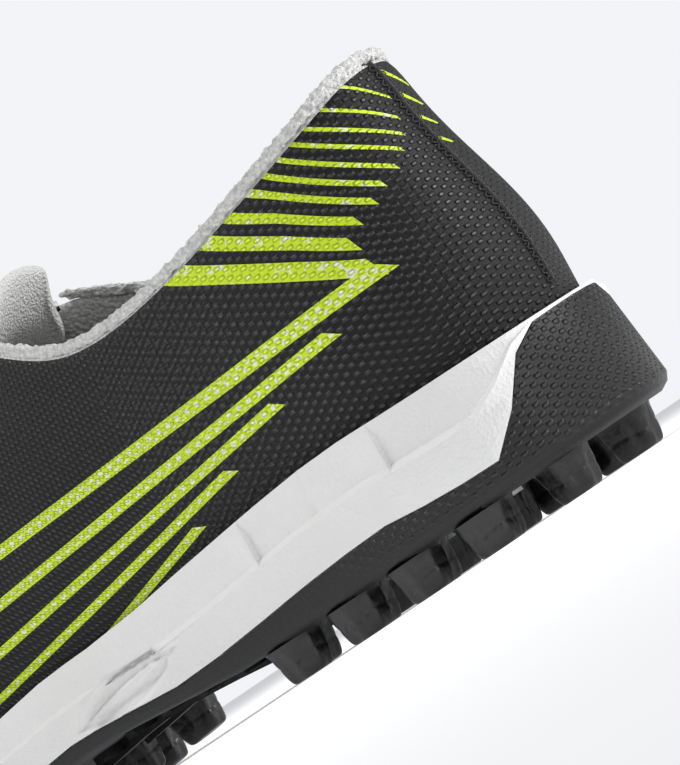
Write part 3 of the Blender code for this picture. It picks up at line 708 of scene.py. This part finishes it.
# %% [markdown]
# ## Outsole cup
# The cup's solid already has the right walls, windows and rails, so it is copied. Its plain studs are
# taken off, because each one is modelled again with its flutes, and the holes they leave are filled.

# %% Outsole without its plain studs
SOLE_LENGTH = 0.288
RISE_TABLE = (
    # place along the sole, height of the plate's underside over the floor, in millimetres
    (0.00, 8.5), (0.20, 8.5), (0.35, 8.9), (0.42, 10.9), (0.50, 12.5), (0.58, 10.5), (0.66, 8.5),
    (0.76, 8.5), (0.86, 10.3), (0.93, 13.8), (1.00, 19.5),
)


def plate_height(x):
    """Height of the rubber plate's underside at a place along the shoe."""
    place = (x - heel_back) / SOLE_LENGTH
    for here, there in zip(RISE_TABLE, RISE_TABLE[1:]):
        if place <= there[0]:
            share = max(place - here[0], 0) / (there[0] - here[0])
            return (here[1] + share * (there[1] - here[1])) / 1000
    return RISE_TABLE[-1][1] / 1000


outsole_cup = copy_of("outsole", "outsole_cup")
outsole_cup.data.materials.append(rubber_finish)
bpy.ops.object.mode_set(mode="EDIT")
bpy.ops.mesh.select_mode(type="FACE")
bpy.ops.mesh.select_all(action="DESELECT")
bpy.ops.object.mode_set(mode="OBJECT")
depths = [plate_height(vertex.co.x) - vertex.co.z for vertex in outsole_cup.data.vertices]
for face in outsole_cup.data.polygons:
    arch = -0.0405 < face.center.x < 0.0195 and abs(face.center.y) < 0.026
    face.select = max(depths[index] for index in face.vertices) > 0.0012 and not arch
bpy.ops.object.mode_set(mode="EDIT")
bpy.ops.mesh.delete(type="FACE")
bpy.ops.mesh.select_all(action="SELECT")
bpy.ops.mesh.fill_holes(sides=0)
bpy.ops.object.mode_set(mode="OBJECT")
bpy.ops.object.shade_smooth_by_angle(angle=math.radians(38))
report(outsole_cup)
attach(outsole_cup, "root")
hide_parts("outsole")

# %% [markdown]
# ## One stud
# A stud is a fluted block with a step halfway and a flat tip. A cylinder gives the block; its ring is
# pulled to a bean, every second column is pressed in for the flutes, and rings are extruded down with
# a change of size.

# %% Model one stud
STUD_LONG = 0.0122
STUD_WIDE = 0.0108
STUD_RINGS = (
    # drop, size, flute depth
    (0.0000, 1.20, 0.00),
    (0.0010, 1.09, 0.05),
    (0.0036, 1.03, 0.12),
    (0.0042, 0.95, 0.12),
    (0.0047, 0.99, 0.12),
    (0.0074, 0.90, 0.11),
    (0.0083, 0.84, 0.09),
    (0.0086, 0.74, 0.06),
)


def build_stud(name, bean, columns=24, waves=7):
    """A stud with its root at z = 0 and its tip below it."""
    bpy.ops.object.select_all(action="DESELECT")
    bpy.ops.mesh.primitive_circle_add(vertices=columns, radius=0.5, fill_type="NOTHING")
    made = bpy.context.object
    made.name = name
    bpy.ops.object.mode_set(mode="EDIT")
    bpy.ops.mesh.select_mode(type="VERT")
    bpy.ops.mesh.select_all(action="SELECT")
    for _ in STUD_RINGS[1:]:
        bpy.ops.mesh.extrude_region_move(TRANSFORM_OT_translate={"value": (0, 0, -0.001)})
    bpy.ops.mesh.edge_face_add()
    bpy.ops.mesh.inset(thickness=0.08, depth=0)
    bpy.ops.object.mode_set(mode="OBJECT")
    for index, vertex in enumerate(made.data.vertices):
        ring = min(round(-vertex.co.z / 0.001), len(STUD_RINGS) - 1)
        drop, size, flute = STUD_RINGS[ring]
        turn = math.atan2(vertex.co.y, vertex.co.x)
        reach = vertex.co.to_2d().length * 2
        lobes = 1 + flute * math.cos(waves * turn)
        hollow = 1 - bean * math.exp(-((turn + 1.9) ** 2) / 0.25)
        rock = 0.0003 * math.sin(3 * turn) if 2 <= ring <= 4 else 0.0
        vertex.co.x = reach * size * lobes * hollow * STUD_LONG / 2 * math.cos(turn)
        vertex.co.y = reach * size * lobes * hollow * STUD_WIDE / 2 * math.sin(turn)
        vertex.co.z = -drop + rock
    bpy.ops.object.mode_set(mode="EDIT")
    bpy.ops.mesh.select_all(action="SELECT")
    bpy.ops.mesh.normals_make_consistent(inside=False)
    bpy.ops.object.mode_set(mode="OBJECT")
    return made


stud_shape = build_stud("stud", 0.22)
report(stud_shape)

# %% [markdown]
# ## Stud rubber
# The studs take the same rubber with a paler worn edge at the tip. Only the height decides where it
# is worn, so the finish can sit on every copy.

# %% Stud finish
def build_stud_finish():
    material, tree, shader = new_finish("stud_rubber", 0.35)
    shader.inputs["Specular IOR Level"].default_value = 0.6
    place = object_place(tree)
    split = tree.nodes.new("ShaderNodeSeparateXYZ")
    tree.links.new(place, split.inputs[0])
    grain = add_node(tree, "ShaderNodeTexNoise", place, None, 900.0, 3.0)
    low = maths(tree, "MULTIPLY", maths(tree, "SUBTRACT", 0.0016, split.outputs[2]), 700.0, clamp=True)
    worn = maths(tree, "MULTIPLY", low, maths(tree, "MULTIPLY", grain, 0.8), clamp=True)
    colour = over(tree, worn, (0.005, 0.005, 0.0053), (0.045, 0.045, 0.047))
    tree.links.new(colour, shader.inputs["Base Color"])
    tree.links.new(maths(tree, "MULTIPLY_ADD", grain, 0.25, 0.24), shader.inputs["Roughness"])
    ridges = add_node(tree, "ShaderNodeTexNoise", place, None, 350.0, 1.0)
    raise_surface(tree, shader, maths(tree, "MULTIPLY_ADD", grain, 0.4, ridges), 0.0007, 0.5)
    return material


stud_finish = build_stud_finish()
print("stud finish ready")

# %% [markdown]
# ## Place the studs
# Studs stand in pairs on both sides, close under the heel and wider under the ball. Each copy stands
# where the plain stud of the solid stands, and the rows below are those of the solid.

# %% Place the studs
STUD_ROWS = (
    # along, outer side, inner side, plate height, in millimetres from the frame's origin
    (-126.1, 14.5, -12.2, 8.5),
    (-111.2, 27.9, -25.5, 8.5),
    (-105.4, 17.7, -15.2, 8.5),
    (-92.2, 29.9, -26.9, 8.5),
    (-86.4, 18.8, -16.0, 8.5),
    (-73.4, 30.2, -26.3, 8.5),
    (-67.7, 19.1, -15.5, 8.5),
    (-55.0, 30.7, -24.2, 8.6),
    (-49.2, 19.3, -13.8, 8.7),
    (25.9, 37.0, -28.9, 10.2),
    (31.7, 13.8, -9.7, 9.7),
    (43.8, 38.4, -33.2, 8.6),
    (49.5, 14.0, -11.6, 8.5),
    (61.6, 38.5, -38.4, 8.5),
    (67.4, 13.2, -14.0, 8.5),
    (79.5, 35.8, -41.5, 8.7),
    (85.2, 10.7, -15.8, 8.9),
    (97.3, 28.9, -40.9, 9.7),
    (103.1, 6.8, -16.2, 10.2),
    (114.6, 18.2, -35.4, 11.9),
    (120.4, 1.9, -14.9, 13.0),
    (133.1, -0.9, -17.1, 16.3),
)
mirrored_stud = copy_piece(stud_shape, "stud_mirrored", Vector())
mirrored_stud.data.transform(Matrix.Scale(-1, 4, (0, 1, 0)))
mirrored_stud.data.flip_normals()
studs = []
for index, (along, outer, inner, height) in enumerate(STUD_ROWS):
    rise = plate_height((along + 4) / 1000) - plate_height((along - 4) / 1000)
    level = Quaternion((0, 1, 0), -math.atan2(rise, 0.008))
    for shape, across in ((stud_shape, outer), (mirrored_stud, inner)):
        place = Vector((along, across, height + 0.1)) / 1000
        studs.append(copy_piece(shape, f"stud_{index}_{across:.0f}", place, level))
for spare in (stud_shape, mirrored_stud):
    bpy.data.objects.remove(spare, do_unlink=True)
outsole_studs = join_pieces(studs, "outsole_studs")
outsole_studs.data.materials.clear()
outsole_studs.data.materials.append(stud_finish)
bpy.ops.object.mode_set(mode="EDIT")
bpy.ops.mesh.select_all(action="SELECT")
bpy.ops.mesh.faces_shade_smooth()
bpy.ops.object.mode_set(mode="OBJECT")
apply_modifier(outsole_studs, "SUBSURF", "softened", levels=1, render_levels=1)
report(outsole_studs)
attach(outsole_studs, "root")

# %% [markdown]
# ## White foam
# Moulded foam has a fine even grain and edges that are never quite sharp. The solid has its steps,
# ridge and wing already, so its copy only needs small bevels, and the grain comes from two sizes of
# noise.

# %% Foam finish and midsole
def build_foam_finish():
    material, tree, shader = new_finish("white_foam", 0.5)
    place = object_place(tree)
    grain = add_node(tree, "ShaderNodeTexNoise", place, None, 1100.0, 3.0)
    cells = add_node(tree, "ShaderNodeTexVoronoi", place, None, 1500.0)
    marks = add_node(tree, "ShaderNodeTexNoise", place, None, 38.0, 5.0)
    marks = maths(tree, "MULTIPLY", maths(tree, "SUBTRACT", marks, 0.52), 1.4, clamp=True)
    colour = over(tree, marks, (0.74, 0.74, 0.73), (0.66, 0.65, 0.63))
    tree.links.new(colour, shader.inputs["Base Color"])
    tree.links.new(maths(tree, "MULTIPLY_ADD", grain, 0.2, 0.42), shader.inputs["Roughness"])
    raise_surface(tree, shader, maths(tree, "MULTIPLY_ADD", cells, 0.5, grain), 0.00035, 0.5)
    return material


foam_finish = build_foam_finish()
midsole_foam = copy_of("midsole", "midsole_foam")
midsole_foam.data.materials.append(foam_finish)
apply_modifier(midsole_foam, "BEVEL", "eased", width=0.0006, segments=2, limit_method="ANGLE",
               angle_limit=math.radians(32))
bpy.ops.object.shade_smooth_by_angle(angle=math.radians(35))
report(midsole_foam)
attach(midsole_foam, "root")
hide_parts("midsole")

# %% [markdown]
# ## Relief on the foam's wing
# The wing beside the arch carries a leaf with one raised vein. On the real foam both come from the
# mould. The copy gets a finer mesh there, and its points are pressed in inside the leaf and raised
# again along the vein.

# %% Press the leaf and its vein
RELIEFS = (
    # middle along, middle height, half length, half height, tilt in degrees, depth, all in millimetres
    (-20.0, 19.5, 17.0, 5.2, -7, 1.1),
    (-20.0, 19.5, 13.5, 1.3, -7, -1.0),
)


def soft_step(value):
    value = min(max(value, 0), 1)
    return value * value * (3 - 2 * value)


def near_wing(face):
    return -0.042 < face.center.x < 0.002 and face.center.z < 0.031 and abs(face.center.y) > 0.02


bpy.context.view_layer.objects.active = midsole_foam
for times in (3, 2):
    bpy.ops.object.mode_set(mode="OBJECT")
    for face in midsole_foam.data.polygons:
        face.select = near_wing(face) and face.area > 0.0000012
    bpy.ops.object.mode_set(mode="EDIT")
    bpy.ops.mesh.subdivide(number_cuts=times)
bpy.ops.object.mode_set(mode="OBJECT")
for vertex in midsole_foam.data.vertices:
    if abs(vertex.normal.y) < 0.5:
        continue
    press = 0.0
    for along, height, half_long, half_tall, tilt, depth in RELIEFS:
        turn = math.radians(tilt)
        run, rise = vertex.co.x * 1000 - along, vertex.co.z * 1000 - height
        share_long = (run * math.cos(turn) + rise * math.sin(turn)) / half_long
        share_tall = (rise * math.cos(turn) - run * math.sin(turn)) / half_tall
        room = 1 - share_long ** 2 - abs(share_tall)
        press += depth * soft_step(room * 3)
    vertex.co.y -= math.copysign(press / 1000, vertex.co.y)
midsole_foam.data.update()
report(midsole_foam)

# %% [markdown]
# ## Tongue
# The tongue is a thin padded flap of white textile under the laces. Its solid is a plain bent plate,
# so the copy is rounded by three levels of subdivision and gets a fine woven finish.

# %% Tongue and insole
tongue_finish = build_cloth_finish(
    "white_textile", (0.80, 0.80, 0.78), (0.58, 0.58, 0.57), 0.0007, 0.0004, sheen=0.2)
tongue_pad = copy_of("tongue", "tongue_pad")
to_quads(tongue_pad)
tongue_pad.data.materials.append(tongue_finish)
apply_modifier(tongue_pad, "SUBSURF", "rounded", levels=3, render_levels=3)
report(tongue_pad)
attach(tongue_pad, "root")
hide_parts("tongue")

insole_finish = build_cloth_finish(
    "dark_lining", (0.060, 0.060, 0.062), (0.020, 0.020, 0.021), 0.0009, 0.0004, sheen=0.25)
insole_foam = copy_of("insole", "insole_foam")
to_quads(insole_foam)
insole_foam.data.materials.append(insole_finish)
apply_modifier(insole_foam, "BEVEL", "eased", width=0.0008, segments=3, limit_method="ANGLE",
               angle_limit=math.radians(40))
report(insole_foam)
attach(insole_foam, "root")
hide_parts("insole")

# %% [markdown]
# ## Laces
# A flat woven lace crosses over the tongue and dives through an eyelet at each side. The solid has
# the crossings. Soft round tucks are added from each crossing's end down through the knit, and a ring
# is set round each hole. The lace's two hidden ends stop at the top eyelets.

# %% Laces, eyelets and tucks
lace_finish = build_cloth_finish(
    "white_lace", (0.80, 0.80, 0.78), (0.50, 0.50, 0.49), 0.0009, 0.0005, sheen=0.15)
lace_crossings = copy_of("laces", "lace_crossings")
lace_crossings.data.materials.append(lace_finish)
apply_modifier(lace_crossings, "BEVEL", "eased", width=0.0004, segments=2, limit_method="ANGLE",
               angle_limit=math.radians(50))
bpy.ops.object.shade_smooth_by_angle(angle=math.radians(50))
report(lace_crossings)
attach(lace_crossings, "root")
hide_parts("laces")

EYELETS = (
    # lace end along, across, height, then the hole's along, across, height, in millimetres
    (40.7, 16.5, 80.6, 39.2, 15.1, 77.5),
    (39.9, -15.1, 80.5, 38.5, -13.5, 77.5),
    (29.5, 18.0, 85.2, 28.1, 16.3, 82.2),
    (28.8, -15.9, 85.0, 27.5, -14.0, 82.2),
    (18.8, 19.1, 89.4, 17.5, 17.1, 86.5),
    (18.3, -16.6, 89.2, 17.1, -14.4, 86.5),
    (8.5, 19.8, 93.2, 7.4, 17.6, 90.4),
    (8.2, -17.3, 92.9, 7.2, -14.8, 90.4),
    (-1.4, 21.0, 96.2, -2.5, 18.5, 93.7),
    (-1.6, -18.5, 95.8, -2.7, -15.7, 93.7),
    (-11.1, 23.0, 98.5, -12.1, 20.2, 96.3),
    (-11.2, -20.5, 98.1, -12.2, -17.4, 96.3),
)
eyelet_finish, eyelet_tree, eyelet_shader = new_finish("black_eyelet", 0.4)
eyelet_noise = add_node(eyelet_tree, "ShaderNodeTexNoise", object_place(eyelet_tree), None, 500.0, 2.0)
eyelet_tree.links.new(over(eyelet_tree, eyelet_noise, (0.01, 0.01, 0.01), (0.03, 0.03, 0.031)),
                      eyelet_shader.inputs["Base Color"])

bpy.ops.object.select_all(action="DESELECT")
bpy.ops.mesh.primitive_torus_add(
    major_segments=24, minor_segments=8, major_radius=0.0024, minor_radius=0.0006)
ring = bpy.context.object
bpy.ops.object.shade_smooth()
rings, tucks = [], []
for index, row in enumerate(EYELETS):
    end, hole = Vector(row[:3]) / 1000, Vector(row[3:]) / 1000
    facing = (end - hole).normalized()
    rings.append(copy_piece(ring, f"ring_{index}", hole, facing.to_track_quat("Z", "Y")))
    outward = Vector((0, math.copysign(0.0012, row[1]), 0))
    run = [end - 0.8 * outward, end + outward, end + 1.3 * outward - 0.0012 * facing,
           hole + 0.4 * outward, hole - 0.0016 * facing]
    tucks.append(rod(f"tuck_{index}", run, 0.0013, sides=12))
bpy.data.objects.remove(ring, do_unlink=True)
lace_eyelets = join_pieces(rings, "lace_eyelets")
lace_eyelets.data.materials.clear()
lace_eyelets.data.materials.append(eyelet_finish)
lace_tucks = join_pieces(tucks, "lace_tucks")
lace_tucks.data.materials.clear()
lace_tucks.data.materials.append(lace_finish)
for piece, slot in ((lace_eyelets, "upper"), (lace_tucks, "laces")):
    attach(piece, "root")
    report(piece)

# %% Clear the selection
bpy.ops.object.select_all(action="DESELECT")
